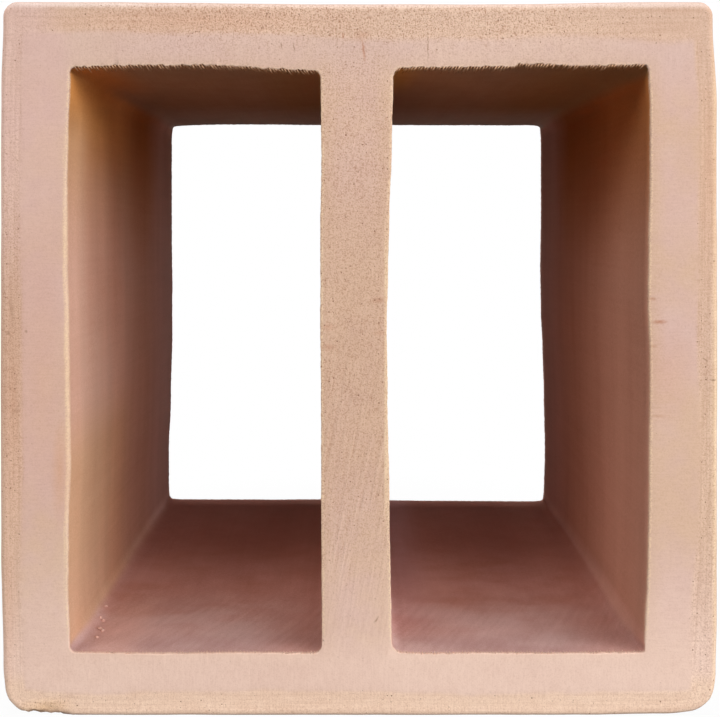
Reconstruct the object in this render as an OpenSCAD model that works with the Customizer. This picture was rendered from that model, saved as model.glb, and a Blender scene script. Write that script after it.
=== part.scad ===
// Terracotta breeze block: one piece of extruded, wire-cut and fired clay.
// A square face with two tall cells side by side, open right through the depth.
// The origin is the middle of the bed face. The photographed cut face looks along -Y.

/* [Block] */
// Width of the cut face
block_w = 200; // [140:1:300]
// Height of the cut face
block_h = 199; // [120:1:300]
// Depth along the cells, from cut face to cut face
block_d = 150; // [60:1:300]
// Radius of the two upper corners of the section
top_corner_r = 4; // [3:0.5:12]
// Radius of the two lower corners, which slump a little as the wet block stands
bed_corner_r = 7; // [3:0.5:14]
// Rounding of the outer edges of both cut faces
arris_r = 1.75; // [0.5:0.25:2.5]

/* [Walls] */
// Thickness of each side wall
side_wall = 19.5; // [12:0.5:30]
// Thickness of the wall above the cells
top_wall = 18.3; // [12:0.1:30]
// Thickness of the wall below the cells
bed_wall = 18.1; // [12:0.1:30]
// Thickness of the web between the two cells
web_t = 19; // [12:0.5:30]
// How far the web stands to the left of the block's middle
web_shift = 1; // [0:0.5:8]

/* [Cells] */
// Radius of the corners of each cell
cell_corner_r = 2.5; // [1.5:0.25:10]
// Rounding of the edges round each cell's mouth
mouth_r = 1; // [0.25:0.25:2.5]

/* [Hidden] */
clay = "#d8b29e";
$fn = 64;

// How far a cut runs past the face that it opens
run_out = 0.5;

// An outline is [left, bottom, right, top, lower corner radius, upper corner radius]
block_outline = [-block_w / 2, 0, block_w / 2, block_h, bed_corner_r, top_corner_r];

web_left = -web_shift - web_t / 2;
web_right = -web_shift + web_t / 2;

// A cell's outline, between two upright walls
function cell_outline(left, right) =
    [left, bed_wall, right, block_h - top_wall, cell_corner_r, cell_corner_r];

cell_outlines = [
    cell_outline(side_wall - block_w / 2, web_left),
    cell_outline(web_right, block_w / 2 - side_wall)
];

// Corner k of an outline, counter-clockwise from the upper right: [centre x, centre y, radius]
function corner(outline, k) =
    let (
        right = k == 0 || k == 3,
        upper = k < 2,
        r = outline[upper ? 5 : 4]
    )
    [
        right ? outline[2] - r : outline[0] + r,
        upper ? outline[3] - r : outline[1] + r,
        r
    ];

function centre(c) = [c[0], c[1]];

// Direction that a corner's arc starts in
function heading(k) = [cos(90 * k), sin(90 * k)];

// The filled outline: straight sides, with a true arc at each corner
module section(outline) {
    corners = [for (k = [0:3]) corner(outline, k)];
    polygon([
        for (k = [0:3], step = [0:1]) centre(corners[k]) + corners[k][2] * heading(k + step)
    ]);
    for (c = corners) translate(centre(c)) circle(c[2]);
}

// Sweeps a flat profile once round an outline: x is out from the outline, y is into the block
module sweep_round(outline) {
    for (k = [0:3]) {
        this = corner(outline, k);
        last = corner(outline, (k + 3) % 4);
        side_length = (centre(this) - centre(last)) * heading(k + 1);
        translate(centre(this)) rotate(90 * k) {
            rotate_extrude(angle = 90) translate([this[2], 0]) children();
            translate([this[2], 0]) rotate([90, 0, 0]) linear_extrude(side_length) children();
        }
    }
}

// Profile of what an edge loses to a rounding of radius r.
// side is 1 where the clay lies outside the outline, and -1 where it lies inside.
module rounding_profile(r, side) {
    difference() {
        translate([side > 0 ? -run_out : -r, -run_out]) square(r + run_out);
        translate([side * r, r]) circle(r);
    }
}

// The clay column as it leaves the die, cut to depth, standing on its front face
module cut_column() {
    linear_extrude(block_d) difference() {
        section(block_outline);
        for (cell = cell_outlines) section(cell);
    }
}

// What the rounded edges of one cut face take away: the outer edge and both mouths
module face_rounding() {
    sweep_round(block_outline) rounding_profile(arris_r, -1);
    for (cell = cell_outlines) sweep_round(cell) rounding_profile(mouth_r, 1);
}

module breeze_block() {
    color(clay)
    translate([0, -block_d / 2, 0])
    rotate([90, 0, 0])
    mirror([0, 0, 1])
    difference() {
        cut_column();
        face_rounding();
        translate([0, 0, block_d]) mirror([0, 0, 1]) face_rounding();
    }
}

breeze_block();
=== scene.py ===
import math

import bpy
import numpy as np
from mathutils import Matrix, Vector


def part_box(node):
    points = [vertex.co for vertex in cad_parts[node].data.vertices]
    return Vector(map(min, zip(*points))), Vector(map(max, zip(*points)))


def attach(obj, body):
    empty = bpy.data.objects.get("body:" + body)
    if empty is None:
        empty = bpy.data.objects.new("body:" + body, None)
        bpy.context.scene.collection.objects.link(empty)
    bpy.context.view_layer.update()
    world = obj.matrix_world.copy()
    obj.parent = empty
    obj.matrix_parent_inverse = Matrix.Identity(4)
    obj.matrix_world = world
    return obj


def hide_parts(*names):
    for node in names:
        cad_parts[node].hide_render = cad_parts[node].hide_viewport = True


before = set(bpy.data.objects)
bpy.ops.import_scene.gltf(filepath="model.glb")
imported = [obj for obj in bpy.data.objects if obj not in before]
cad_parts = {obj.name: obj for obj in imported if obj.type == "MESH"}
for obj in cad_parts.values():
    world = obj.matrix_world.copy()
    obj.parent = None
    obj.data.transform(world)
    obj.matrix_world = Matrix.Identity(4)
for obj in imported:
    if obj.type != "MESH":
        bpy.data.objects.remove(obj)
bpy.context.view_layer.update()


# The block
# One column of clay, pushed through a die with two cores, cut to depth by a taut wire, then fired.
# The die leaves a smooth skin on the sides and in the cells. The wire leaves both cut faces sandy,
# with a coarser band where it first bites, and it tears the clay a little at the cell mouths.

MM = 0.001
block_low, block_high = (np.array(corner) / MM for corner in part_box("breeze_block"))
left_edge, front, bed = block_low
right_edge, rear, top = block_high

# The die's section, in millimetres: its walls, and its faces from left to right and from bed to top
side_wall = 19.5
bed_wall = 18.1
top_wall = 18.3
web_left, web_right = -10.5, 8.5
web_middle = (web_left + web_right) / 2
cell_floor, cell_top = bed + bed_wall, top - top_wall
upright_faces = (left_edge, left_edge + side_wall, web_left, web_right, right_edge - side_wall, right_edge)
level_faces = (bed, cell_floor, cell_top, top)
top_corner_radius = 4.0
bed_corner_radius = 7.0
corner_easing = 5.0
# Corner radii of each cell at its mouth and deep inside: lower left, upper left, lower right, upper right
mouth_radii = {1: (1.8, 1.2, 2.5, 2.0), 3: (3.0, 2.8, 1.0, 1.2)}
deep_radii = {1: (5.0, 6.5, 2.5, 2.5), 3: (3.0, 3.0, 5.5, 6.5)}

# How far each face wandered off true in drying and firing, as (place along the face, offset)
upright_wander = (
    ((4, 1.5), (14, 0.8), (45, 0.2), (100, 0.1), (175, 0.2), (192, 0.8)),
    ((20, 0.1), (36, -0.4), (52, -0.3), (72, 0.3), (82, 0.2), (96, -0.05), (110, -0.15), (126, -0.55),
     (149, -0.65), (163, -0.35), (177, 0.15)),
    ((20, 0.3), (60, 0.1), (85, 0.1), (110, -0.1), (138, -0.1), (153, 0.2), (178, -0.05)),
    ((20, 0.7), (60, 0.1), (90, -0.45), (108, -0.6), (124, -0.2), (140, 0.1), (158, 0.8), (178, 1.1)),
    ((20, -0.8), (44, 0.05), (64, 0.4), (100, 0.6), (116, 0.1), (130, 0.3), (150, 0.65), (169, 0.7),
     (178, 0.3)),
    ((4, -0.9), (12, -0.2), (25, 0.1), (100, 0.2), (170, 0.1), (192, -1.0)),
)
level_wander = (
    ((-98, 1.0), (-86, 0.0), (62, 0.0), (86, 0.4), (98, 1.3)),
    ((-80, -0.25), (-58, -0.5), (-30, -0.3), (-14, -0.45), (10, -0.25), (20, -0.5), (35, -0.35),
     (52, -0.5), (72, -0.3)),
    ((-78, -0.1), (-66, 0.35), (-45, 0.5), (-12, -1.0), (12, -0.2), (40, 0.0), (62, 0.3), (78, 0.55)),
    ((-80, 0.1), (0, -0.5), (35, -0.5), (85, 0.1)),
)
# The same at the rear, because the walls, floors and tops of the cells wander on their way there
rear_upright_wander = (
    upright_wander[0],
    ((20, -0.7), (40, -0.75), (62, 0.1), (90, 0.7), (112, 0.75), (130, 0.5), (177, 0.5)),
    upright_wander[2],
    upright_wander[3],
    ((20, 0.8), (40, 1.25), (66, 0.8), (84, 0.3), (101, -0.5), (118, -0.75), (145, -0.4), (178, -0.5)),
    upright_wander[5],
)
rear_level_wander = (
    level_wander[0],
    ((-80, 0.05), (-40, -0.1), (-12, 0.0), (10, -0.4), (40, -0.7), (80, -0.9)),
    ((-78, -0.5), (-62, -0.05), (-45, 0.0), (-12, -0.25), (12, -0.25), (45, -0.35), (78, -0.3)),
    level_wander[3],
)

# Spacing of the mesh along a cut edge and across a wall, and the clear strip that a rounded edge needs
edge_step = 0.7
wall_step = 1.15
rounding_strip = 2.4


def section_lines(faces):
    """Grid lines across the section, with a clear strip on both sides of each wall."""
    lines = []
    for number, (start, end) in enumerate(zip(faces, faces[1:])):
        step = edge_step
        if number % 2 == 0:
            lines.append(start)
            start, end = start + rounding_strip, end - rounding_strip
            step = wall_step
        spaced = np.linspace(start, end, round((end - start) / step) + 1)
        lines.extend(spaced if number % 2 == 0 else spaced[:-1])
    lines.append(faces[-1])
    return np.array(lines)


def wander_at(along, stops):
    """A smooth curve through the stops."""
    places, offsets = zip(*stops)
    step = np.interp(along, places, range(len(places)))
    here = np.minimum(step.astype(int), len(places) - 2)
    part = step - here
    part = part * part * (3 - 2 * part)
    offsets = np.array(offsets)
    return offsets[here] * (1 - part) + offsets[here + 1] * part


def off_true(value, faces, wander, along):
    """Offset of each point, shared out between the two faces that it lies between."""
    offsets = [wander_at(along, stops) for stops in wander]
    shift = np.zeros_like(value)
    for number, (start, end) in enumerate(zip(faces, faces[1:])):
        share = np.clip((value - start) / (end - start), 0, 1)
        between = (value >= start) & (value <= end)
        shift = np.where(between, offsets[number] * (1 - share) + offsets[number + 1] * share, shift)
    return shift


def bent_round(x, z, corner, way, radius, full, reach):
    """Bend square grid lines round a corner's arc, fully at one ring and easing off to another."""
    centre = (corner[0] - way[0] * radius, corner[1] - way[1] * radius)
    across = (x - centre[0]) * way[0]
    up = (z - centre[1]) * way[1]
    ring = np.maximum(across, up)
    bent = (np.minimum(across, up) > 0) & (ring < max(radius, reach) + 0.001)
    ease = np.clip((ring - reach) / (full - reach), 0, 1)
    length = np.where(bent, np.hypot(across, up), 1)
    pull = np.where(bent, 1 + ease * (ring / length - 1), 1)
    return centre[0] + (x - centre[0]) * pull, centre[1] + (z - centre[1]) * pull


def fired_section(x, z, cell_radii, uprights=upright_wander, levels=level_wander):
    """Move points of the die's square section to where they lie on the fired block."""
    shift_x = off_true(x, upright_faces, uprights, z)
    shift_z = off_true(z, level_faces, levels, x)
    for side in (-1, 1):
        edge = upright_faces[0 if side < 0 else 5]
        for level, way, radius in ((bed, -1, bed_corner_radius), (top, 1, top_corner_radius)):
            x, z = bent_round(x, z, (edge, level), (side, way), radius, radius - rounding_strip, 0.0)
    for left, radii in cell_radii.items():
        ways = ((-1, -1), (-1, 1), (1, -1), (1, 1))
        for (side, way), radius in zip(ways, radii):
            corner = (upright_faces[left if side < 0 else left + 1], level_faces[1 if way < 0 else 2])
            x, z = bent_round(x, z, corner, (side, way), radius, radius, radius + corner_easing)
    return x + shift_x, z + shift_z


x_lines = section_lines(upright_faces)
z_lines = section_lines(level_faces)
grid_x, grid_z = np.meshgrid(x_lines, z_lines, indexing="ij")
fired_x, fired_z = fired_section(grid_x, grid_z, mouth_radii)
deep_x, deep_z = fired_section(grid_x, grid_z, deep_radii)
rear_x, rear_z = fired_section(grid_x, grid_z, mouth_radii, rear_upright_wander, rear_level_wander)


def in_a_cell(x, z):
    """Whether a place on the section lies in the opening of a cell."""
    in_left = (x > upright_faces[1]) & (x < upright_faces[2])
    in_right = (x > upright_faces[3]) & (x < upright_faces[4])
    return (in_left | in_right) & (z > cell_floor) & (z < cell_top)


ids = np.full(grid_x.shape, -1)
on_clay = ~in_a_cell(grid_x, grid_z)
ids[on_clay] = np.arange(on_clay.sum())
middle_x = (grid_x[:-1, :-1] + grid_x[1:, 1:]) / 2
middle_z = (grid_z[:-1, :-1] + grid_z[1:, 1:]) / 2
solid = ~in_a_cell(middle_x, middle_z)
corners = np.stack([ids[:-1, :-1], ids[:-1, 1:], ids[1:, 1:], ids[1:, :-1]], axis=-1)
section_points = np.stack([fired_x[on_clay], np.full(on_clay.sum(), front), fired_z[on_clay]], axis=-1)


def new_piece(name, mesh_name, points, edges, faces):
    """A piece in the scene, with a mesh made of these points, edges and faces."""
    mesh = bpy.data.meshes.new(mesh_name)
    mesh.from_pydata(points, edges, faces)
    piece = bpy.data.objects.new(name, mesh)
    bpy.context.scene.collection.objects.link(piece)
    return piece


block = new_piece("breeze_block_clay", "die_section", section_points * MM, [], corners[solid].tolist())
# Offsets that go with each point: from the true section to the fired one, and on to what lies deeper
section_offsets = {
    "off_true": (fired_x - grid_x, fired_z - grid_z),
    "corner_fill": (deep_x - fired_x, deep_z - fired_z),
    "rear_line": (rear_x - fired_x, rear_z - fired_z),
}
for name, (across, up) in section_offsets.items():
    offsets = np.stack([across, np.zeros_like(across), up], axis=-1)[on_clay]
    attribute = block.data.attributes.new(name, "FLOAT_VECTOR", "POINT")
    attribute.data.foreach_set("vector", (offsets * MM).ravel())


class Wire:
    """One value in a node tree. Arithmetic on it adds Math nodes."""

    def __init__(self, tree, socket=None):
        self.tree = tree
        self.socket = socket

    def node(self, kind, settings=None, sockets=None, output=0):
        """Add a node: its settings first, then the values or links of its sockets."""
        made = self.tree.nodes.new(kind)
        for name, value in (settings or {}).items():
            setattr(made, name, value)
        for name, value in (sockets or {}).items():
            if isinstance(value, Wire):
                self.tree.links.new(value.socket, made.inputs[name])
            else:
                made.inputs[name].default_value = value
        return Wire(self.tree, made.outputs[output]) if made.outputs else None

    def other(self, output):
        """Another output of the node that this value comes from."""
        return Wire(self.tree, self.socket.node.outputs[output])

    def math(self, operation, *values):
        return self.node("ShaderNodeMath", {"operation": operation}, dict(enumerate(values)))

    def vector(self, operation, *values):
        return self.node("ShaderNodeVectorMath", {"operation": operation}, dict(enumerate(values)))

    def ramp(self, start, end):
        """Smooth step from 0 at the start to 1 at the end."""
        sockets = {0: self, 1: start, 2: end}
        return self.node("ShaderNodeMapRange", {"interpolation_type": "SMOOTHSTEP"}, sockets)

    def tint(self, under, over):
        """Lay one colour over another, with this value as its cover."""
        return self.node("ShaderNodeMix", {"data_type": "RGBA"}, {0: self, 6: under, 7: over}, 2)

    def scaled(self, factor):
        """This vector or colour times a number."""
        return self.node("ShaderNodeVectorMath", {"operation": "SCALE"}, {0: self, "Scale": factor})

    def least(self, other):
        return self.math("MINIMUM", self, other)

    def most(self, other):
        return self.math("MAXIMUM", self, other)

    def __abs__(self):
        return self.math("ABSOLUTE", self)

    def __add__(self, other):
        return self.math("ADD", self, other)

    def __sub__(self, other):
        return self.math("SUBTRACT", self, other)

    def __rsub__(self, other):
        return self.math("SUBTRACT", other, self)

    def __mul__(self, other):
        return self.math("MULTIPLY", self, other)

    def __truediv__(self, other):
        return self.math("DIVIDE", self, other)

    def __rtruediv__(self, other):
        return self.math("DIVIDE", other, self)

    __radd__ = __add__
    __rmul__ = __mul__


def node_tree(name, lengths):
    """A Geometry Nodes tree with one named input for each size."""
    tree = bpy.data.node_groups.new(name, "GeometryNodeTree")
    tree.interface.new_socket("Geometry", in_out="INPUT", socket_type="NodeSocketGeometry")
    for label, value in lengths.items():
        kind = "NodeSocketInt" if isinstance(value, int) else "NodeSocketFloat"
        tree.interface.new_socket(label, in_out="INPUT", socket_type=kind)
    tree.interface.new_socket("Geometry", in_out="OUTPUT", socket_type="NodeSocketGeometry")
    return tree


def run_tree(piece, tree, lengths):
    """Put a tree on a piece, with its inputs set by their identifiers."""
    modifier = piece.modifiers.new(tree.name, "NODES")
    modifier.node_group = tree
    for item in tree.interface.items_tree:
        if item.in_out == "INPUT" and item.name in lengths:
            modifier[item.identifier] = lengths[item.name]


def made_plain(piece):
    """Turn what the modifiers make into the piece's own mesh, smooth shaded."""
    graph = bpy.context.evaluated_depsgraph_get()
    mesh = bpy.data.meshes.new_from_object(piece.evaluated_get(graph))
    piece.modifiers.clear()
    piece.data = mesh
    mesh.name = piece.name
    mesh.shade_smooth()


def millimetres(spot):
    """The three coordinates of a place, in millimetres."""
    x = spot.node("ShaderNodeSeparateXYZ", None, {0: spot})
    return x / MM, x.other("Y") / MM, x.other("Z") / MM


def from_mouth(x, z):
    """Distance to the nearest cell mouth on the section: positive in the clay, negative in the cell."""
    middle = (cell_floor + cell_top) / 2
    half_height = (cell_top - cell_floor) / 2
    nearest = None
    for left in (1, 3):
        centre = (upright_faces[left] + upright_faces[left + 1]) / 2
        half_width = (upright_faces[left + 1] - upright_faces[left]) / 2
        distance = (abs(x - centre) - half_width).most(abs(z - middle) - half_height)
        nearest = distance if nearest is None else nearest.least(distance)
    return nearest


def shader_inputs(material):
    """The inputs of a material's shader."""
    return material.node_tree.nodes["Principled BSDF"].inputs


def clay_material(name):
    """A clay material, without gloss."""
    material = bpy.data.materials.new(name)
    material.use_nodes = True
    shader_inputs(material)["Specular IOR Level"].default_value = 0.0
    return material


# The clay has two finishes: the smooth skin that the die leaves, and the open clay where the wire cut
skin_clay = clay_material("skin_clay")
cut_clay = clay_material("cut_clay")

# Pushing the section through the die: rows of clay from the front face to the rear, closest at the cuts
column_sizes = {
    "Depth": (rear - front) * MM,
    "Rows": 14,
    "Outer rounding": 1.75 * MM,
    "Mouth rounding": 0.4 * MM,
    "Worn rounding": 0.6 * MM,
}
column_tree = node_tree("clay_column", column_sizes)
flow = Wire(column_tree)
given = flow.node("NodeGroupInput")
loop_end = column_tree.nodes.new("GeometryNodeRepeatOutput")
loop_end.repeat_items.clear()
loop_end.repeat_items.new("GEOMETRY", "Clay")
loop_end.repeat_items.new("BOOLEAN", "Cut")
loop_start = column_tree.nodes.new("GeometryNodeRepeatInput")
loop_start.pair_with_output(loop_end)
column_tree.links.new(given.other("Rows").socket, loop_start.inputs["Iterations"])
column_tree.links.new(given.other("Geometry").socket, loop_start.inputs["Clay"])
loop_start.inputs["Cut"].default_value = True
turn = Wire(column_tree, loop_start.outputs["Iteration"]) * math.pi / given.other("Rows")
next_turn = turn + math.pi / given.other("Rows")
row_step = given.other("Depth") * (turn.math("COSINE", turn) - turn.math("COSINE", next_turn)) / 2
push = flow.node("ShaderNodeCombineXYZ", None, {"Y": row_step})
extruded = flow.node("GeometryNodeExtrudeMesh", {"mode": "FACES"}, {
    "Mesh": Wire(column_tree, loop_start.outputs["Clay"]),
    "Selection": Wire(column_tree, loop_start.outputs["Cut"]),
    "Offset": push,
    "Offset Scale": 1.0,
    "Individual": False,
})
column_tree.links.new(extruded.socket, loop_end.inputs["Clay"])
column_tree.links.new(extruded.other("Top").socket, loop_end.inputs["Cut"])
front_face = flow.node("GeometryNodeFlipFaces", None, {"Mesh": given.other("Geometry")})
joined = flow.node("GeometryNodeJoinGeometry")
column_tree.links.new(front_face.socket, joined.socket.node.inputs[0])
column_tree.links.new(loop_end.outputs["Clay"], joined.socket.node.inputs[0])
welded = flow.node("GeometryNodeMergeByDistance", None, {"Geometry": joined, "Distance": 0.01 * MM})
spot = flow.node("GeometryNodeInputPosition")
x, y, z = millimetres(spot)
# Edges that turn by more than a radian are rounded: the outer ones most, the floor lips least,
# and the left cell's left mouth edge more than the others because it is worn
edge_angle = flow.node("GeometryNodeInputMeshEdgeAngle")
sharp = edge_angle.math("GREATER_THAN", edge_angle, 1.0)
outside = from_mouth(x, z).ramp(4.0, 6.0)
worn = abs(x - upright_faces[1]).ramp(3.0, 2.0) * abs(z - 100).ramp(62.0, 30.0) * y.ramp(0.0, -1.0)
on_lip = (z - cell_floor).ramp(3.9, 0.9)
mouth = given.other("Mouth rounding") * (1 - on_lip * 0.4) + worn * given.other("Worn rounding")
rounding = (mouth * (1 - outside) + given.other("Outer rounding") * outside) / given.other("Outer rounding")
weighted = flow.node("GeometryNodeStoreNamedAttribute", {"data_type": "FLOAT", "domain": "EDGE"}, {
    "Geometry": welded,
    "Name": "bevel_weight_edge",
    "Value": sharp * rounding,
})
whole = flow.node("GeometryNodeRealizeInstances", None, {"Geometry": weighted})
skinned = flow.node("GeometryNodeSetMaterial", None, {"Geometry": whole, "Material": skin_clay})
flow.node("NodeGroupOutput", None, {"Geometry": skinned})
run_tree(block, column_tree, column_sizes)

bevel = block.modifiers.new("rounded_edges", "BEVEL")
bevel.limit_method = "WEIGHT"
bevel.width = column_sizes["Outer rounding"]
bevel.segments = 5
bevel.use_clamp_overlap = False
bevel.loop_slide = False

# What the wire, the drying rack and handling do to the faces: slow dips, a sunk outer band,
# torn mouths with the worst tearing under the tops of the cells, and a chip off the bed edge
finish_sizes = {
    "Face dips": 0.3 * MM,
    "Skin dips": 0.45 * MM,
    "Band sink": 0.1 * MM,
    "Mouth tear": 0.35 * MM,
    "Top tear": 1.1 * MM,
    "Jag": 0.7 * MM,
    "Chip depth": 0.8 * MM,
}
# How deep the wire's finish goes in, and the widths of the outer band, which grows low on the right
# and along the right half of the top
wire_reach = 3.0
left_band, right_band, bed_band, top_band = 6.2, 5.8, 7.2, 8.7
right_band_growth, top_band_growth = 1.6, 1.9
# The chip's middle along the bed edge, and its half sizes
chip_middle = -86.5
chip_half_length, chip_half_depth, chip_half_height = 8.0, 3.2, 3.0
# Where the right cell's top edge jumps up, and where it is back in line
jag_start, jag_full, jag_end = 43.6, 44.4, 66.0
finish_tree = node_tree("wire_cut_finish", finish_sizes)
flow = Wire(finish_tree)
given = flow.node("NodeGroupInput")
spot = flow.node("GeometryNodeInputPosition")
x, y, z = millimetres(spot)


def noise(place, size, detail, output=0):
    """Noise with features of a size, in the same unit as the place."""
    sockets = {"Vector": place, "Scale": 1 / size, "Detail": detail}
    return place.node("ShaderNodeTexNoise", None, sockets, output)


def uneven(edge_gap, blotch, fleck):
    """The way in over the outer band, with the band's inner edge made uneven."""
    return edge_gap + (blotch - 0.5) * 0.55 + (fleck - 0.5) * 0.2


def kept(clay_flow, name, *parts):
    """Keep three values on the mesh, for the colours to use."""
    values = clay_flow.node("ShaderNodeCombineXYZ", None, dict(enumerate(parts)))
    settings = {"data_type": "FLOAT_VECTOR", "domain": "POINT"}
    return clay_flow.node("GeometryNodeStoreNamedAttribute", settings, {
        "Geometry": clay_flow, "Name": name, "Value": values})


def section_offset(name):
    """One of the offsets that the section carries."""
    settings = {"data_type": "FLOAT_VECTOR"}
    return flow.node("GeometryNodeInputNamedAttribute", settings, {"Name": name})


# Each place's share of the way in from the edge over the outer band, and its place along that edge,
# measured on the true section
true_x, _, true_z = millimetres(spot.vector("SUBTRACT", spot, section_offset("off_true")))
right_width = right_band + z.ramp(70.0, 10.0) * right_band_growth
top_width = top_band + x.ramp(-30.0, 25.0) * top_band_growth
side_gap = ((true_x - left_edge) / left_band).least((right_edge - true_x) / right_width)
level_gap = ((true_z - bed) / bed_band).least((top - true_z) / top_width)
edge_gap = side_gap.least(level_gap)
on_side = (side_gap - level_gap).ramp(0.15, -0.15)
along = z * on_side + x * (1 - on_side)
mouth_gap = from_mouth(true_x, true_z)
blotch = noise(spot, 28 * MM, 3.0)
fleck = noise(spot, 5 * MM, 3.0)
drift = noise(spot, 60 * MM, 1.0)

deep = y - front
from_cut = rear - abs(y)
cut = from_cut.ramp(5.0, 0.6)
front_half = y.ramp(0.0, -1.0)
at_mouth = abs(mouth_gap).ramp(1.6, 0.2) * cut
under_top = (cell_top - z).ramp(2.7, 0.7) * front_half
low_mouth = (z - cell_floor).ramp(2.9, 0.4) * front_half
relief = (noise(spot, 16 * MM, 2.0) - 0.5) * given.other("Face dips") * cut
clear_of_bed = (z - bed).ramp(1.0, 3.0)
relief = relief + (noise(spot, 38 * MM, 1.0) - 0.5) * given.other("Skin dips") * (1 - cut) * clear_of_bed
band_gap = uneven(edge_gap, blotch, fleck)
relief = relief - band_gap.ramp(1.15, 0.85) * band_gap.ramp(0.25, 0.5) * cut * given.other("Band sink")
tear_noise = noise(spot, 1.0 * MM, 1.0, 1)
tear_way = tear_noise.vector("SUBTRACT", tear_noise, (0.5, 0.5, 0.5))
tear_way = tear_way.vector("MULTIPLY", tear_way, (1.0, 0.25, 1.0))
tear_size = at_mouth * (given.other("Mouth tear") * (1 + low_mouth) + under_top * given.other("Top tear"))
tear = tear_way.scaled(tear_size)
chip_x = (x - chip_middle) / chip_half_length
chip_y = deep / chip_half_depth
chip_z = (z - bed) / chip_half_height
chip_reach = chip_x * chip_x + chip_y * chip_y + chip_z * chip_z + (noise(spot, 1.8 * MM, 2.0) - 0.5) * 2.4
chipped = chip_reach.ramp(1.2, 0.0) * given.other("Chip depth")
chip = flow.node("ShaderNodeCombineXYZ", None, {"Y": chipped * 0.7, "Z": chipped * 0.75})
normal = flow.node("GeometryNodeInputNormal")
raised = normal.scaled(relief)
filled = section_offset("corner_fill")
filled = filled.scaled(deep.ramp(1.0, 17.0) * (1 - (rear - y).ramp(17.0, 1.0) * 0.75))
rear_line = section_offset("rear_line")
filled = rear_line.vector("MULTIPLY_ADD", rear_line, deep.ramp(2.0, 95.0), filled)
at_jag = x.ramp(jag_start, jag_full) * x.ramp(jag_end, jag_full) * abs(mouth_gap).ramp(5.0, 0.5) * cut
jag = flow.node("ShaderNodeCombineXYZ", None, {"Z": at_jag * under_top * given.other("Jag")})
offset = raised.vector("ADD", raised, tear.vector("ADD", tear, chip))
offset = offset.vector("ADD", offset, filled.vector("ADD", filled, jag))

zoned = kept(given.other("Geometry"), "zones", edge_gap, along, mouth_gap)
toned = kept(zoned, "tones", blotch, fleck, drift)
moved = flow.node("GeometryNodeSetPosition", None, {"Geometry": toned, "Offset": offset})
whole = flow.node("GeometryNodeRealizeInstances", None, {"Geometry": moved})
by_the_wire = from_cut.math("LESS_THAN", from_cut, wire_reach)
painted = flow.node("GeometryNodeSetMaterial", None, {
    "Geometry": whole, "Selection": by_the_wire, "Material": cut_clay})
flow.node("NodeGroupOutput", None, {"Geometry": painted})
run_tree(block, finish_tree, finish_sizes)
made_plain(block)


def tone(red, green, blue):
    """A screen colour as the linear colour that a shader takes."""
    parts = [value / 255 for value in (red, green, blue)]
    return tuple(p / 12.92 if p <= 0.04045 else ((p + 0.055) / 1.055) ** 2.4 for p in parts) + (1.0,)


# Colours of the fired clay: the pink core, tan where the wire and the fire browned it, the pale foot,
# the skin on the sides and in the cells, with painted light and shade in the cells, and the stains and
# painted highlights
pink_clay = tone(221, 186, 173)
rosy_clay = tone(220, 181, 172)
tan_clay = tone(217, 181, 156)
lilac_clay = tone(218, 186, 180)
grey_pink_clay = tone(219, 188, 175)
pale_clay = tone(239, 206, 189)
pale_tan_clay = tone(240, 206, 180)
web_clay = tone(211, 174, 149)
side_skin = tone(217, 176, 155)
wall_skin = tone(218, 169, 147)
wall_top_shade_skin = tone(204, 134, 80)
wall_shadow_skin = tone(158, 98, 60)
wall_rear_lit_skin = tone(240, 196, 190)
left_wall_lit_skin = tone(230, 184, 162)
left_wall_high_shade_skin = tone(210, 158, 112)
left_wall_low_skin = tone(224, 178, 143)
left_wall_lit_patch_skin = tone(246, 174, 104)
warm_corner_lit_skin = tone(224, 150, 80)
gold_corner_skin = tone(218, 166, 94)
ceiling_skin = tone(182, 147, 119)
ceiling_brown_skin = tone(176, 136, 92)
ceiling_rear_lit_skin = tone(208, 184, 168)
floor_front_skin = tone(195, 156, 150)
floor_skin = tone(212, 170, 162)
floor_middle_skin = tone(216, 162, 150)
floor_lilac_shade_skin = tone(196, 146, 142)
floor_rear_shade_skin = tone(177, 119, 105)
floor_red_skin = tone(192, 126, 100)
floor_grey_sheen_skin = tone(222, 190, 184)
floor_side_shade_skin = tone(206, 148, 132)
floor_pink_lit_skin = tone(232, 184, 170)
cream_wear_and_highlight = tone(238, 208, 172)
brown_lip = tone(204, 164, 138)
torn_brown_and_shade = tone(124, 80, 50)
grey_rim_highlight = tone(228, 210, 203)
burnt_orange = tone(216, 167, 138)
chip_orange = tone(236, 192, 146)
pore_brown = tone(150, 104, 80)
iron_red = tone(190, 132, 104)
smudge_brown = tone(160, 120, 94)


def kept_values(ink, name):
    """Three values that the mesh keeps under a name."""
    values = ink.node("ShaderNodeAttribute", {"attribute_name": name}, None, "Vector")
    first = ink.node("ShaderNodeSeparateXYZ", None, {0: values})
    return first, first.other("Y"), first.other("Z")


def stretched(*parts):
    """A place with its own scale along each axis."""
    return parts[0].node("ShaderNodeCombineXYZ", None, dict(enumerate(parts)))


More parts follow.
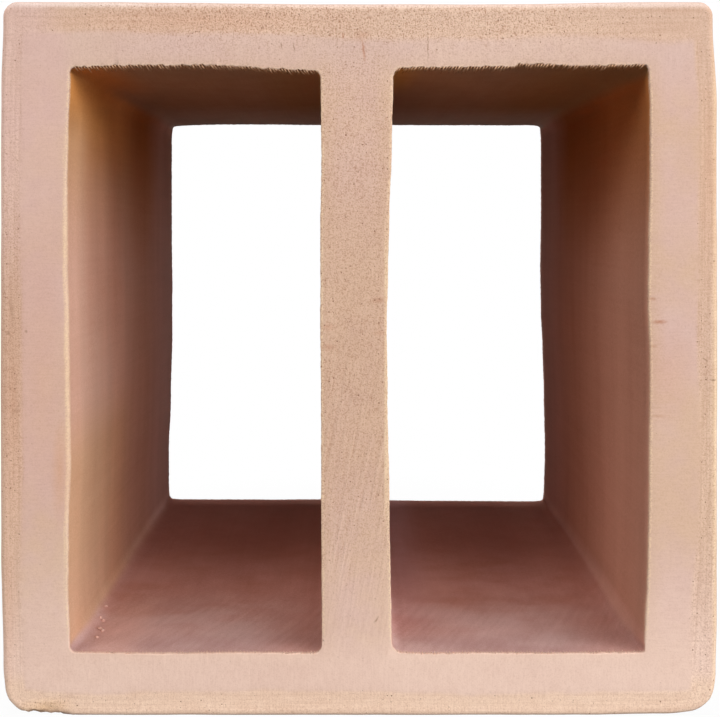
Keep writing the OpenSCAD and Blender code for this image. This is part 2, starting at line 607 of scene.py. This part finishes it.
def wall_colour(x, y, z):
    """Colour of the cells' upright walls: browner high up as painted shade, paler towards the rear as
    painted light, and palest in front on the left wall as painted light.
    """
    deep = y - front
    far_left = x.ramp(-74.0, -79.0)
    # Browner and darker high up, and darker still deep in: painted shade under the tops of the cells
    wall = z.ramp(115.0, 176.0).tint(wall_skin, wall_top_shade_skin)
    shadow = z.ramp(120.0, 172.0) * deep.ramp(25.0, 75.0) * (0.6 - far_left * 0.4)
    wall = shadow.tint(wall, wall_shadow_skin)
    # The left cell's left wall: palest in front as painted light from the right, darker high up as painted
    # shade, with a painted pool of light high up a little way in
    left_wall = z.ramp(122.0, 172.0).tint(left_wall_lit_skin, left_wall_high_shade_skin)
    left_wall = z.ramp(88.0, 66.0).tint(left_wall, left_wall_low_skin)
    left_wall = (z.ramp(48.0, 26.0) * 0.25).tint(left_wall, left_wall_lit_skin)
    left_wall = (z.ramp(148.0, 172.0) * deep.ramp(13.0, 31.0) * 0.8).tint(left_wall, left_wall_lit_patch_skin)
    # Painted darker and lighter bands across the wall
    dull = deep.ramp(7.0, 17.0) * deep.ramp(39.0, 27.0) * z.ramp(176.0, 168.0)
    dull = dull.most(deep.ramp(17.0, 9.0) * z.ramp(160.0, 168.0))
    lit_band = deep.ramp(41.0, 50.0) * deep.ramp(71.0, 59.0) * z.ramp(172.0, 160.0)
    left_wall = left_wall.scaled(1 - dull * 0.16 + lit_band * 0.12)
    # A painted shaded patch in the middle of the wall, losing more blue than red
    browned = deep.ramp(9.0, 25.0) * deep.ramp(69.0, 49.0) * z.ramp(84.0, 122.0) * z.ramp(174.0, 158.0)
    browner = browned.vector("MULTIPLY_ADD", browned, (-0.09, -0.19, -0.23), (1.0, 1.0, 1.0))
    left_wall = left_wall.vector("MULTIPLY", left_wall, browner)
    wall = (far_left * deep.ramp(87.0, 49.0)).tint(wall, left_wall)
    # Paler towards the rear: painted light from the rear opening
    return (deep.ramp(93.0, 130.0) * 0.5).tint(wall, wall_rear_lit_skin)


def floor_colour(x, y):
    """Colour of the cells' floors: mottled grey in front as a painted sheen, pink by the left wall as
    painted light, and darker and redder behind and beside the walls as painted shade.
    """
    deep = y - front
    mottle = noise(stretched(x * 0.035, y * 0.07), 1.0, 2.0)
    floor = deep.ramp(4.0, 17.0).tint(floor_front_skin, floor_skin)
    floor = deep.ramp(21.0, 51.0).tint(floor, floor_middle_skin)
    by_right_wall = (x.ramp(-34.0, -14.0) * x.ramp(0.0, -5.0)).most(x.ramp(54.0, 74.0))
    # Grey mottles in front: a painted sheen
    grey = mottle.ramp(0.58, 0.3) * deep.ramp(45.0, 17.0) * (1 - by_right_wall)
    floor = (grey * 0.4).tint(floor, floor_grey_sheen_skin)
    red = mottle.ramp(0.4, 0.72) * deep.ramp(9.0, 31.0)
    floor = (red * 0.4).tint(floor, floor_red_skin)
    # Darker and redder behind: painted shade deep in the cell
    floor = deep.ramp(45.0, 100.0).tint(floor, floor_rear_shade_skin)
    # Painted shade along the right of each cell
    floor = (by_right_wall * (0.45 + deep.ramp(35.0, 75.0) * 0.2)).tint(floor, floor_side_shade_skin)
    # Painted light by the left cell's left wall
    by_left_wall = x.ramp(-58.0, -68.0) * x.ramp(-79.0, -72.0)
    floor = (by_left_wall * deep.ramp(55.0, 20.0) * 0.5).tint(floor, floor_pink_lit_skin)
    # Painted shade beside the web
    by_the_web = x.ramp(28.0, 14.0) * x.ramp(0.0, 8.0)
    shaded = deep.ramp(5.0, 21.0) * 0.5 + deep.ramp(30.0, 60.0) * 0.25
    return (by_the_web * shaded).tint(floor, floor_lilac_shade_skin)


def ceiling_colour(x, y):
    """Colour of the cells' tops: browner towards the right of each cell, and paler behind as painted light
    from the rear opening.
    """
    right_part = x.ramp(36.0, 66.0).most(x.ramp(-36.0, -20.0) * x.ramp(0.0, -8.0) * 0.7)
    ceiling = (right_part * 0.9).tint(ceiling_skin, ceiling_brown_skin)
    # Paler behind: painted light
    return (y - front).ramp(75.0, 145.0).tint(ceiling, ceiling_rear_lit_skin)


def skin_colour(x, y, z, mouth_gap):
    """Colour of the die's skin, on the outer sides and in the cells, with warm corners under the tops, the
    left cell's one a painted pool of light, and a painted highlight along one floor ridge.
    """
    above_floor = z - cell_floor
    below_top = cell_top - z
    cell = above_floor.ramp(2.9, 0.3).tint(wall_colour(x, y, z), floor_colour(x, y))
    # A painted highlight on the ridge where the right cell's floor meets its right wall
    ridge_highlight = above_floor.ramp(0.5, 1.9) * above_floor.ramp(6.9, 3.4) * x.ramp(74.0, 78.0)
    cell = (ridge_highlight * 0.4).tint(cell, floor_pink_lit_skin)
    cell = below_top.ramp(3.7, 0.3).tint(cell, ceiling_colour(x, y))
    # Warm corners under the tops: the left cell's is painted light
    corner = below_top.ramp(20.7, 3.7) * (y - front).ramp(65.0, 20.0)
    cell = (corner * x.ramp(-62.0, -79.0) * 0.85).tint(cell, warm_corner_lit_skin)
    cell = (corner * x.ramp(20.0, 9.0) * x.ramp(8.0, 8.6) * 0.8).tint(cell, gold_corner_skin)
    return mouth_gap.ramp(6.0, 2.0).tint(side_skin, cell)


# Dark grains lose more blue than red
shade_strength = (0.72, 1.05, 1.25)


def finished(material, colour, shade, rough, height):
    """Join a shaded colour, a roughness and a relief in millimetres to a material's shader."""
    warm_shade = shade.vector("MULTIPLY_ADD", shade, shade_strength, (1.0, 1.0, 1.0))
    shaded = colour.vector("MULTIPLY", colour, warm_shade)
    bump = height.node("ShaderNodeBump", None, {"Strength": 1.0, "Distance": MM, "Height": height})
    for name, value in (("Base Color", shaded), ("Roughness", rough), ("Normal", bump)):
        material.node_tree.links.new(value.socket, shader_inputs(material)[name])


# Sizes of the fine sand and of the coarse sand in the clay
grain_size = 0.34
coarse_size = 1.0
# Roughness of the skin, of the cut faces, and of the burrs and crumbs
skin_roughness, cut_roughness, broken_roughness = 0.78, 0.9, 0.95

# The skin: smooth, with faint lines drawn along the depth by the die, and floors wiped in front
ink = Wire(skin_clay.node_tree)
spot = ink.node("ShaderNodeTexCoord", None, None, "Object")
x, y, z = millimetres(spot)
mouth_gap = kept_values(ink, "zones")[2]
fleck, drift = kept_values(ink, "tones")[1:]
grain = noise(spot, grain_size * MM, 0.0) - 0.5
coarse = noise(spot, coarse_size * MM, 1.0) - 0.5
drawn = noise(stretched(x * 0.8, y * 0.02, z * 0.8), 1.0, 1.0) - 0.5
smear = noise(stretched(x * 0.13, y * 0.13, z * 0.016), 1.0, 2.0) - 0.5
wiped = noise(stretched((x - y * 0.5) * 0.5, (y + x * 0.5) * 0.05), 1.0, 1.0) - 0.5
shade = grain * 0.28 + coarse * 0.1 + drawn * 0.08 + smear * 0.2 + (drift - 0.5) * 0.12
wiped = wiped * (z - cell_floor).ramp(1.9, 0.4) * (y - front).ramp(55.0, 25.0)
shade = shade + wiped * 0.25 + (fleck - 0.5) * 0.1
relief = coarse * 0.03 + drawn * 0.03
finished(skin_clay, skin_colour(x, y, z, mouth_gap), shade, skin_roughness + coarse * 0.1, relief)

# The cut faces: sandy where the wire dragged, coarsest along the top and down the web
ink = Wire(cut_clay.node_tree)
spot = ink.node("ShaderNodeTexCoord", None, None, "Object")
x, y, z = millimetres(spot)
edge_gap, along, mouth_gap = kept_values(ink, "zones")
blotch, fleck, drift = kept_values(ink, "tones")
grain = noise(spot, grain_size * MM, 0.0) - 0.5
coarse_noise = noise(spot, coarse_size * MM, 1.0)
coarse = coarse_noise - 0.5

# Marks that this block carries on its front: x, z, half length, half width, slope in degrees, strength
chip_marks = (
    (-87.0, 2.6, 9.0, 3.4, 4, 1.0),
)
iron_marks = (
    (83.6, 109.9, 2.8, 0.8, 0, 0.9),
    (81.7, 116.3, 1.4, 0.7, 0, 0.7),
    (82.0, 103.2, 1.4, 0.7, 0, 0.5),
    (83.5, 83.7, 3.2, 0.7, 0, 0.35),
    (1.4, 185.5, 4.6, 0.5, 97, 0.8),
    (-4.3, 189.4, 1.2, 0.45, 90, 1.0),
    (1.0, 189.5, 3.5, 1.6, 20, 0.35),
    (-8.6, 108.5, 3.0, 1.3, 0, 0.45),
    (-8.4, 102.9, 3.4, 1.2, 0, 0.45),
    (5.6, 116.0, 2.8, 1.1, 10, 0.4),
    (6.0, 106.8, 2.6, 1.0, 0, 0.35),
)
burnt_marks = (
    (-96.0, 86.0, 60.0, 6.0, 90, 0.55),
    (-97.5, 36.0, 32.0, 4.0, 90, 0.4),
    (-45.0, 194.0, 55.0, 5.0, 0, 0.4),
    (98.0, 150.0, 40.0, 4.0, 90, 0.4),
    (-88.0, 92.0, 55.0, 12.0, 90, 0.35),
    (-83.0, 69.0, 20.0, 3.6, 90, 0.8),
    (86.0, 95.0, 15.0, 9.0, 90, 0.35),
)
smudge_marks = (
    (-97.0, 106.0, 44.0, 4.6, 90, 0.25),
    (-96.4, 113.0, 7.0, 1.7, 96, 0.45),
    (-95.4, 85.0, 5.5, 1.6, 50, 0.3),
    (-97.4, 106.8, 1.1, 0.9, 0, 0.8),
    (-92.4, 107.2, 0.6, 0.5, 0, 0.7),
    (-21.4, 186.7, 1.2, 0.35, 90, 0.8),
    (-17.9, 186.3, 1.8, 0.35, 100, 0.8),
    (19.3, 186.5, 6.0, 0.28, 90, 0.7),
    (96.4, 99.3, 1.3, 0.4, -25, 0.8),
    (98.7, 93.7, 1.2, 0.4, -10, 0.8),
    (5.0, 27.2, 1.4, 0.4, 60, 0.8),
    (0.0, 188.0, 24.0, 11.0, 0, 0.12),
    (-1.0, 105.0, 45.0, 15.0, 90, 0.12),
)
# How deep a mark goes in, and how far the sand breaks up its outline
mark_depth = 9.0
mark_shake = 0.45 * MM
shake = coarse_noise.other("Color").scaled(2 * mark_shake)
shaken = shake.vector("ADD", spot, shake.vector("SUBTRACT", shake, (mark_shake, mark_shake, mark_shake)))


def stained(marks):
    """Cover of a set of soft strokes on the front face."""
    cover = None
    for mark_x, mark_z, half_length, half_width, slope, strength in marks:
        placed = ink.node("ShaderNodeMapping", {"vector_type": "TEXTURE"}, {
            "Vector": shaken,
            "Location": (mark_x * MM, front * MM, mark_z * MM),
            "Rotation": (0, math.radians(-slope), 0),
            "Scale": (half_length * MM, mark_depth * MM, half_width * MM),
        })
        stroke = ink.node("ShaderNodeTexGradient", {"gradient_type": "SPHERICAL"}, {0: placed}, 1)
        stroke = stroke * strength
        cover = stroke if cover is None else cover.most(stroke)
    return cover


above_floor = z - cell_floor
below_top = cell_top - z
cut = (rear - abs(y)).ramp(1.4, 0.2)
band_gap = uneven(edge_gap, blotch, fleck)
band = band_gap.ramp(1.12, 0.88) * cut
web = abs(x - web_middle).ramp(11.0, 8.5) * z.ramp(14.0, 26.0) * z.ramp(188.0, 178.0) * cut
high = z.ramp(176.0, 190.0) * abs(x - web_middle).ramp(96.0, 36.0)
low_right = x.ramp(80.0, 94.0) * z.ramp(150.0, 60.0)
mid_left = x.ramp(-80.0, -94.0) * abs(z - 105.0).ramp(75.0, 25.0)
chip = stained(chip_marks)
streak = noise(stretched(edge_gap * 9.0, along * 0.04), 1.0, 2.0) - 0.5
sandy = band * (0.36 + high * 0.6 + low_right * 0.35 + mid_left * 0.4) * (1 + streak * 1.6)
sandy = sandy + web * (0.68 + z.ramp(60.0, 100.0) * 0.2) * z.ramp(20.0, 62.0)
sandy = sandy + high * cut * 0.7 + chip * 0.9
comb = noise(stretched(along * 2.2, edge_gap * 1.5), 1.0, 1.0) - 0.5
slash = noise(stretched((x - z * 0.19) * 1.1, (z + x * 0.19) * 0.06), 1.0, 1.0) - 0.5
slashed = web * (0.4 + z.ramp(110.0, 85.0) * z.ramp(22.0, 45.0) * 0.6)

pore_spacing = 1.15
pore_cells = ink.node("ShaderNodeTexVoronoi", None, {"Vector": spot, "Scale": 1 / (pore_spacing * MM)})
pore_chance = ink.node("ShaderNodeSeparateColor", None, {0: pore_cells.other("Color")})
pore_size = pore_cells * pore_spacing + coarse * 0.3
pore = pore_size.ramp(0.25, 0.08) * (pore_chance + sandy * 0.42 + band * 0.08).ramp(0.86, 1.25) * cut

face = (blotch * 1.1 + fleck * 0.7).ramp(0.65, 1.15).tint(pink_clay, tan_clay)
face = ((fleck - blotch * 0.6).ramp(0.2, 0.45) * z.ramp(60.0, 110.0) * 0.3).tint(face, lilac_clay)
face = (mouth_gap.ramp(5.5, 0.3) * (fleck + 0.25) * x.ramp(-81.0, -79.0)).tint(face, tan_clay)
face = (z.ramp(172.0, 186.0) * 0.6).tint(face, grey_pink_clay)
face = (x.ramp(-79.0, -85.0) * z.ramp(45.0, 75.0) * 0.45).tint(face, rosy_clay)
pink_corner = x.ramp(-80.0, -92.0) * z.ramp(112.0, 135.0)
face = (band * (0.8 - pink_corner * 0.6)).tint(face, tan_clay)
face = (web * z.ramp(18.0, 80.0) * (0.75 - z.ramp(130.0, 170.0) * 0.4)).tint(face, web_clay)
face = (z.ramp(56.0, 8.0) * (0.9 - web * 0.4)).tint(face, pale_clay)
face = (band * z.ramp(14.0, 8.0) * 0.8).tint(face, pale_tan_clay)
# Painted highlights along the rounding of the top edge and down the right outer edge
face = (z.ramp(196.6, 198.6) * cut * 0.7).tint(face, grey_rim_highlight)
face = (x.ramp(97.6, 99.4) * cut * 0.6).tint(face, cream_wear_and_highlight)
surface = cut.tint(skin_colour(x, y, z, mouth_gap), face)

# Cream along the mouths, partly wear and partly a painted highlight where the edges catch the light, most
# along the left cell's left edge, and brown along the floor lips
at_front = (y - front).ramp(2.0, 0.8)
at_lip = abs(mouth_gap - 0.25).ramp(0.8, 0.2) * (grain * 2.0 + 0.55).ramp(0.3, 0.75) * at_front
lip = at_lip * above_floor.ramp(1.9, 6.9) * (0.55 - below_top.ramp(4.7, 0.7) * 0.25)
cream_line = 0.6 - mouth_gap + (noise(stretched(z), 9.0, 2.0) - 0.5) * 1.1
left_wear_and_highlight = abs(cream_line).ramp(0.85, 0.3) * abs(z - 95).ramp(80.0, 30.0) * x.ramp(-70.0, -74.0)
left_wear_and_highlight = left_wear_and_highlight * (0.95 + grain * 1.6)
web_wear_and_highlight = abs(x - web_right + 0.75).ramp(0.75, 0.3) * abs(z - 96).ramp(48.0, 30.0)
surface = lip.most(left_wear_and_highlight.most(web_wear_and_highlight) * at_front * 0.6).tint(surface, cream_wear_and_highlight)
surface = (at_lip * above_floor.ramp(2.4, 0.9) * 0.2).tint(surface, brown_lip)

# Dark brown under the tops, clear of the cells' side walls: partly clay that the wire tore, partly painted
# shade under the edge
clear_of_sides = abs(abs(x + 0.5) - 45.0).ramp(34.6, 32.6)
under_lip = mouth_gap.ramp(0.45, -0.05) * below_top.ramp(2.1, 1.1) * clear_of_sides * at_front
surface = (under_lip * 0.85).tint(surface, torn_brown_and_shade)

# The marks and pores, then the sand's own light and dark
surface = stained(burnt_marks).tint(surface, burnt_orange)
surface = (chip * 0.65).tint(surface, chip_orange)
surface = stained(iron_marks).tint(surface, iron_red)
surface = stained(smudge_marks).tint(surface, smudge_brown)
surface = (pore * 0.85).tint(surface, pore_brown)
inner_border = band_gap.ramp(0.7, 0.95) * band_gap.ramp(1.2, 1.0)
specks = grain.least(0.07) + 0.035
shade = specks * (0.22 + sandy * 0.7) + coarse * (0.07 + sandy * 0.08)
shade = shade + streak * band * (0.16 + abs(x).ramp(40.0, 85.0) * 0.14 + low_right * 0.12)
shade = shade + comb * cut * (0.14 + band * 0.1) + slash * slashed * 0.25
shade = shade - inner_border * cut * fleck.ramp(0.5, 0.68) * 0.09
shade = shade + (drift - 0.5) * 0.15 + (blotch - 0.5) * 0.08 + (fleck - 0.5) * 0.16
relief = grain * (0.01 + sandy * 0.025) + coarse * (0.02 + sandy * 0.05) - pore * 0.1
relief = relief + streak * band * 0.08 + slash * slashed * 0.22
finished(cut_clay, surface, shade, cut_roughness + coarse * 0.1, relief)

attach(block, "root")
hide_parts("breeze_block")


# The burrs
# Slivers of wet clay that the wire dragged out along the mouths, fired hard where they stand.
# They hang close together under the tops of both cells, and make a short fuzz along the floor lips.

burr_sizes = {
    "Spacing": 0.85 * MM,
    "Length": 2.3 * MM,
    "Width": 0.35 * MM,
    "Lean": 0.75,
    "Lip share": 0.33,
    "Seed": 4,
}
# Runs of burrs on each cell: the level face, and how far in, up and along the run is set.
# They stop short of the side walls, and each run's line has as many points as it needs to follow the edge.
burr_margin = 1.4
run_points = 90
burr_runs = ((2, 0.18, 0.3, 0.0), (1, 0.2, -0.25, 0.0), (1, 0.6, -0.1, 0.27))
burr_points = []
burr_edges = []
for left in (1, 3):
    for level, inset, lift, shift in burr_runs:
        start, end = upright_faces[left] + burr_margin, upright_faces[left + 1] - burr_margin
        run_x = np.linspace(start, end, run_points)
        edge_x, edge_z = fired_section(run_x + shift, np.full_like(run_x, level_faces[level]), mouth_radii)
        jump = np.interp(edge_x, (jag_start, jag_full, jag_end), (0, 1, 0)) * (level == 2)
        run_z = (edge_z + lift) * MM + jump * finish_sizes["Jag"]
        first = len(burr_points)
        burr_points.extend((a * MM, (front + inset) * MM, b) for a, b in zip(edge_x, run_z))
        burr_edges.extend((first + n, first + n + 1) for n in range(len(run_x) - 1))
burrs = new_piece("breeze_block_burrs", "burr_lines", burr_points, burr_edges, [])
# Between these heights, going down, a burr counts more and more as one of a floor lip's
lip_heights = (110.0, 90.0)

# Pale at the root and dark at the tip, but pale all along on the floor lips: the dark is painted shade,
# where the burrs hang under the tops
burr_pale = tone(224, 182, 146)
burr_shade_dark = tone(112, 70, 42)
lip_burr_pale = tone(228, 194, 174)
burr_clay = clay_material("burr_clay")
shader_inputs(burr_clay)["Roughness"].default_value = broken_roughness
ink = Wire(burr_clay.node_tree)
spot = ink.node("ShaderNodeTexCoord", None, None, "Object")
z = millimetres(spot)[2]
tip = ink.node("ShaderNodeAttribute", {"attribute_name": "tip"}, None, "Fac")
darkened = tip.ramp(0.1, 0.8) * 0.75 + noise(spot, 1.1 * MM, 1.0).ramp(0.4, 0.65) * 0.4
burr_colour = darkened.least(1.0).tint(burr_pale, burr_shade_dark)
burr_colour = (z.ramp(*lip_heights) * 0.85).tint(burr_colour, lip_burr_pale)
burr_clay.node_tree.links.new(burr_colour.socket, shader_inputs(burr_clay)["Base Color"])

burr_tree = node_tree("burrs", burr_sizes)
flow = Wire(burr_tree)
given = flow.node("NodeGroupInput")
seed = given.other("Seed")


def at_random(low, high, offset):
    """A random number for each copy, in the tree that is being built."""
    sockets = {2: low, 3: high, "Seed": seed + offset}
    return flow.node("FunctionNodeRandomValue", {"data_type": "FLOAT"}, sockets, 1)


line = flow.node("GeometryNodeMeshToCurve", None, {"Mesh": given.other("Geometry")})
spaced = flow.node("GeometryNodeResampleCurve", {"mode": "LENGTH"}, {
    "Curve": line, "Length": given.other("Spacing")})
tooth = flow.node("GeometryNodeMeshCone", None, {
    "Vertices": 5, "Radius Top": given.other("Width") * 0.1, "Radius Bottom": given.other("Width") / 2,
    "Depth": given.other("Length")})
spot = flow.node("GeometryNodeInputPosition")
burr_x, _, burr_z = millimetres(spot)
tipped = flow.node("GeometryNodeStoreNamedAttribute", {"data_type": "FLOAT", "domain": "POINT"}, {
    "Geometry": tooth, "Name": "tip", "Value": burr_z * MM / given.other("Length")})
on_floor = burr_z.ramp(*lip_heights)
side_lean = given.other("Lean") * (burr_x.ramp(2.0, -4.0) * 2 - 1) * (1 - on_floor)
lean = flow.node("ShaderNodeCombineXYZ", None, {
    0: side_lean + at_random(-0.2, 0.2, 1), 1: at_random(-0.2, 0.2, 2), 2: on_floor * 2 - 1})
turned = flow.node("FunctionNodeAlignRotationToVector", {"axis": "Z"}, {"Vector": lean})
long = at_random(0.6, 1.1, 3) * (1 - on_floor * (1 - given.other("Lip share")))
thick = at_random(0.7, 1.1, 4)
scale = flow.node("ShaderNodeCombineXYZ", None, {0: thick, 1: thick, 2: long})
hung = flow.node("GeometryNodeInstanceOnPoints", None, {
    "Points": spaced, "Instance": tipped, "Rotation": turned, "Scale": scale})
solid_burrs = flow.node("GeometryNodeRealizeInstances", None, {"Geometry": hung})
painted = flow.node("GeometryNodeSetMaterial", None, {"Geometry": solid_burrs, "Material": burr_clay})
flow.node("NodeGroupOutput", None, {"Geometry": painted})
run_tree(burrs, burr_tree, burr_sizes)
made_plain(burrs)
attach(burrs, "root")


# The crumbs
# A few crumbs of the same clay, which fell on the left cell's floor before firing.
# They were fired with the block and stuck fast in the corner of the floor.

crumb_sizes = {
    "Crumb": 0.58 * MM,
    "Seed": 7,
}
crumb_places = (
    (-77.6, -52.4, 18.6), (-76.5, -53.6, 18.3), (-76.0, -59.3, 18.2), (-74.9, -60.4, 18.1),
    (-75.4, -64.9, 18.0), (-78.2, -44.0, 18.7),
)
crumb_points = [tuple(value * MM for value in place) for place in crumb_places]
crumbs = new_piece("breeze_block_crumbs", "crumb_places", crumb_points, [], [])

crumb_tree = node_tree("crumbs", crumb_sizes)
flow = Wire(crumb_tree)
given = flow.node("NodeGroupInput")
seed = given.other("Seed")
grit = flow.node("GeometryNodeMeshIcoSphere", None, {"Radius": given.other("Crumb"), "Subdivisions": 2})
scale = flow.node("ShaderNodeCombineXYZ", None, {
    0: at_random(0.7, 1.2, 1), 1: at_random(0.7, 1.2, 2), 2: at_random(0.5, 0.9, 3)})
strewn = flow.node("GeometryNodeInstanceOnPoints", None, {
    "Points": given.other("Geometry"), "Instance": grit, "Scale": scale})
solid_crumbs = flow.node("GeometryNodeRealizeInstances", None, {"Geometry": strewn})
dent = noise(flow.node("GeometryNodeInputPosition"), 0.6 * MM, 1.0, 1)
dented = dent.vector("SUBTRACT", dent, (0.5, 0.5, 0.5)).scaled(given.other("Crumb"))
moved = flow.node("GeometryNodeSetPosition", None, {"Geometry": solid_crumbs, "Offset": dented})
crumb_pink = tone(208, 166, 152)
crumb_clay = clay_material("crumb_clay")
shader_inputs(crumb_clay)["Base Color"].default_value = crumb_pink
shader_inputs(crumb_clay)["Roughness"].default_value = broken_roughness
painted = flow.node("GeometryNodeSetMaterial", None, {"Geometry": moved, "Material": crumb_clay})
flow.node("NodeGroupOutput", None, {"Geometry": painted})
run_tree(crumbs, crumb_tree, crumb_sizes)
made_plain(crumbs)
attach(crumbs, "root")


# Floor, light and camera
# A sheet of white paper, soft lamps in front and to both sides, a far lamp for each of three faces
# that the camera doesn't see, and a camera level with the cells.


def seen_plainly(wire):
    """Whether a ray comes from the camera, off a mirror or through glass."""
    seen = wire.node("ShaderNodeLightPath", None, None, "Is Camera Ray")
    return seen.most(seen.other("Is Glossy Ray")).most(seen.other("Is Transmission Ray"))


# The paper looks white, but throws only a little light back up
paper_half = 4.0
paper_corners = [(-paper_half, -paper_half, 0), (paper_half, -paper_half, 0),
                 (paper_half, paper_half, 0), (-paper_half, paper_half, 0)]
floor = new_piece("paper_floor", "paper_floor", paper_corners, [], [(0, 1, 2, 3)])
paper = bpy.data.materials.new("white_paper")
paper.use_nodes = True
paper.node_tree.nodes.clear()
sheet = Wire(paper.node_tree)
spot = sheet.node("ShaderNodeTexCoord", None, None, "Object")
reach = spot.node("ShaderNodeVectorMath", {"operation": "LENGTH"}, {0: spot}, "Value")
dull = sheet.node("ShaderNodeBsdfDiffuse", None, {"Color": (0.11, 0.11, 0.11, 1)})
matt = sheet.node("ShaderNodeBsdfDiffuse", None, {"Color": (0.9, 0.9, 0.9, 1)})
glow = sheet.node("ShaderNodeEmission", None, {"Strength": 1.0})
whiteness = 0.96 + reach.ramp(0.12, 0.2) * 0.04
lit = sheet.node("ShaderNodeMixShader", None, {0: whiteness, 1: matt, 2: glow})
both = sheet.node("ShaderNodeMixShader", None, {0: seen_plainly(sheet), 1: dull, 2: lit})
sheet.node("ShaderNodeOutputMaterial", None, {"Surface": both})
floor.data.materials.append(paper)

world = bpy.data.worlds.new("studio")
bpy.context.scene.world = world
world.use_nodes = True
world.node_tree.nodes.clear()
sky = Wire(world.node_tree)
dim = sky.node("ShaderNodeBackground", None, {"Color": (1, 1, 1, 1), "Strength": 0.02})
white = sky.node("ShaderNodeBackground", None, {"Color": (1, 1, 1, 1), "Strength": 1.0})
both = sky.node("ShaderNodeMixShader", None, {0: seen_plainly(sky), 1: dim, 2: white})
sky.node("ShaderNodeOutputWorld", None, {"Surface": both})

# The lamps hang two metres from the middle of the front face
lamp_aim = Vector((0, -0.075, 0.1))
lamp_distance = 2.0


def hang(light, way):
    """Hang a lamp off to one side, facing the block."""
    holder = bpy.data.objects.new(light.name, light)
    holder.location = lamp_aim + lamp_distance * way
    holder.rotation_euler = way.to_track_quat("Z", "Y").to_euler()
    bpy.context.scene.collection.objects.link(holder)


def soft_lamp(name, turn, lift, power, size):
    """A round soft lamp, turned to the right of the camera and lifted, in degrees."""
    light = bpy.data.lights.new(name, "AREA")
    light.energy = power
    light.shape = "DISK"
    light.size = size
    turn, lift = math.radians(turn), math.radians(lift)
    hang(light, Vector((math.sin(turn) * math.cos(lift), -math.cos(turn) * math.cos(lift), math.sin(lift))))


def far_lamp(name, way, power):
    """A far lamp square to one face, so that it lights that face and nothing in the cells."""
    light = bpy.data.lights.new(name, "SUN")
    light.energy = power
    light.angle = math.radians(8)
    hang(light, Vector(way))


soft_lamp("front_lamp", 5, 11, 16.5, 0.9)
soft_lamp("right_lamp", 65, 15, 23.4, 0.9)
soft_lamp("high_right_lamp", 38, 30, 9.5, 1.1)
soft_lamp("high_left_lamp", -48, 36, 8.8, 1.1)
far_lamp("rear_lamp", (0, 1, 0), 2.1)
far_lamp("left_lamp", (-1, 0, 0), 1.5)
far_lamp("top_lamp", (0, 0, 1), 1.3)

# The camera's place and lens follow from the outlines of the face and of the rear openings
camera_data = bpy.data.cameras.new("camera")
camera = bpy.data.objects.new("camera", camera_data)
camera_data.sensor_width = 36
camera_data.lens = 47.98
camera_data.shift_x = 0.0106
camera_data.shift_y = -0.1828
camera.location = (-0.0017, -0.3417, 0.1363)
camera.rotation_euler = (math.radians(90), 0, 0)
bpy.context.scene.collection.objects.link(camera)
bpy.context.scene.camera = camera
bpy.context.scene.view_settings.view_transform = "Standard"
